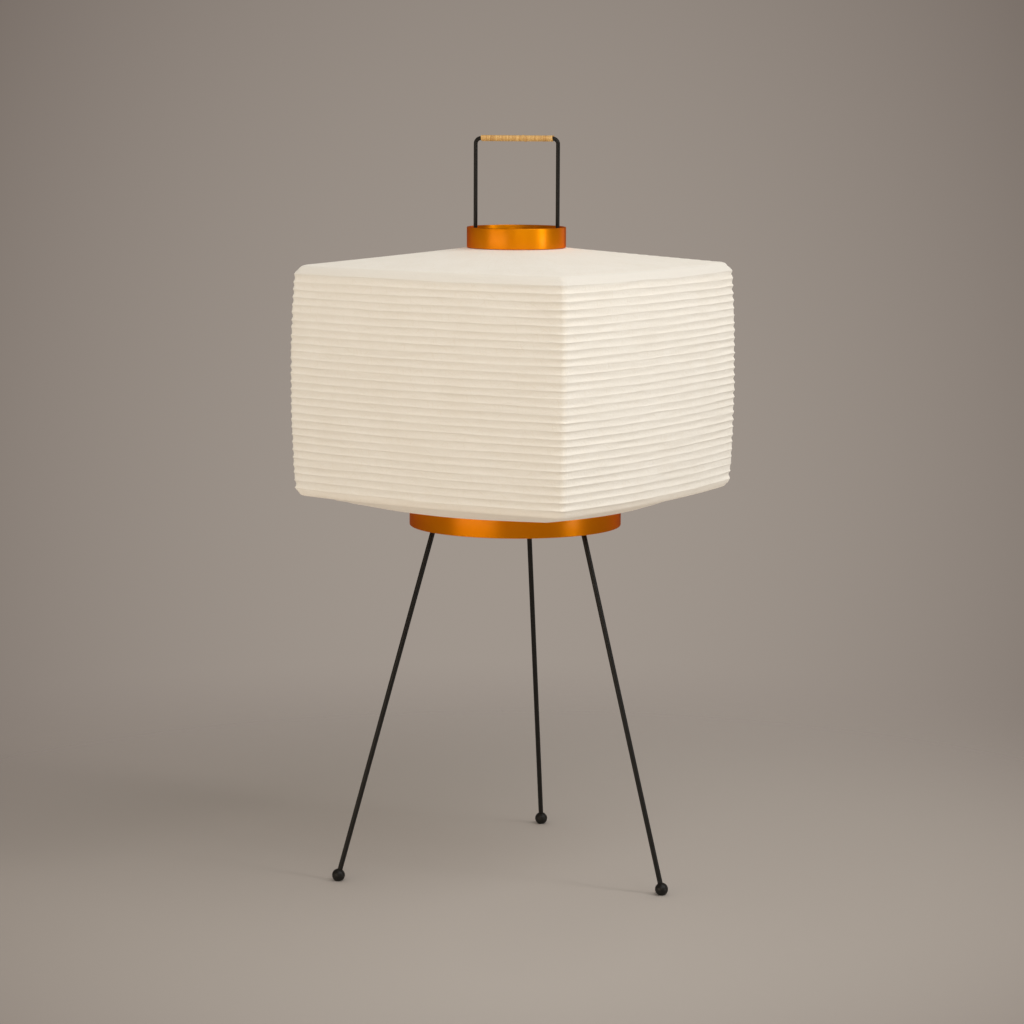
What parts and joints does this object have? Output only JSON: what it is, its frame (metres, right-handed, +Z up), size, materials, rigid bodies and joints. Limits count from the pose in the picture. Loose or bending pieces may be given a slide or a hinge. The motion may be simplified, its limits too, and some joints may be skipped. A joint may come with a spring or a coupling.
{
  "type": "floor lamp",
  "caption": "Low tripod floor lamp with a square ribbed paper lantern shade between two orange metal rings and a cane-bound carrying handle.",
  "frame": {"origin": "on the floor, on the lamp's axis, midway under the shade", "axes": "+Z up along the lamp's axis, +Y along the back leg, +X along the handle's cross bar"},
  "size_m": [0.426, 0.426, 0.7422],
  "materials": {
    "paper": "matt handmade paper, ribbed",
    "orange_metal": "satin orange anodised, finely brushed around",
    "black_metal": "satin black lacquer",
    "cane": "split cane, lightly polished",
    "bamboo": "raw bamboo splint",
    "steel": "zinc plated",
    "brass": "bright",
    "black_plastic": "moulded, matt",
    "ceramic": "glazed",
    "glass": "opal"
  },
  "bodies": {
    "base": {"bottom_ring": "orange_metal", "base_plate": "steel", "arm_screw_back": "steel", "arm_screw_right": "steel", "arm_screw_left": "steel", "leg_socket_back": "steel", "leg_socket_right": "steel", "leg_socket_left": "steel", "leg_back": "black_metal", "leg_right": "black_metal", "leg_left": "black_metal", "foot_back": "black_metal", "foot_right": "black_metal", "foot_left": "black_metal", "upright_socket_left": "steel", "upright_socket_right": "steel", "handle_frame": "black_metal", "cane_grip": "cane", "cable_gland": "black_plastic", "nipple": "steel", "locknut": "steel", "holder_base": "black_plastic", "holder_insert": "ceramic", "holder_contact": "brass", "holder_shell": "black_plastic", "bottom_hoop": "bamboo", "shade_paper": "paper", "bamboo_rib": "bamboo"},
    "shade_head": {"top_ring": "orange_metal", "top_hoop": "bamboo", "ring_lug_left": "steel", "ring_lug_right": "steel", "set_screw_left": "steel", "set_screw_right": "steel"},
    "bulb_foot": {"bulb_contact": "brass"},
    "bulb": {"bulb_cap": "brass", "bulb_glass": "glass"}
  },
  "joints": [
    {"name": "shade_collapse", "type": "slide", "parent": "base", "child": "shade_head", "axis": [0, 0, 1], "range_m": [-0.17, 0], "deforming": ["shade_paper", "bamboo_rib"]},
    {"name": "bulb_rise", "type": "slide", "parent": "base", "child": "bulb_foot", "axis": [0, 0, 1], "range_m": [0, 0.0177]},
    {"name": "bulb_turn", "type": "hinge", "parent": "bulb_foot", "child": "bulb", "pos_m": [0, 0, 0.4], "axis": [0, 0, 1], "range_deg": [0, 1800]}
  ],
  "couplings": [
    {"joint": "bulb_rise", "follows": "bulb_turn", "m_per_rad": 0.00056182}
  ]
}
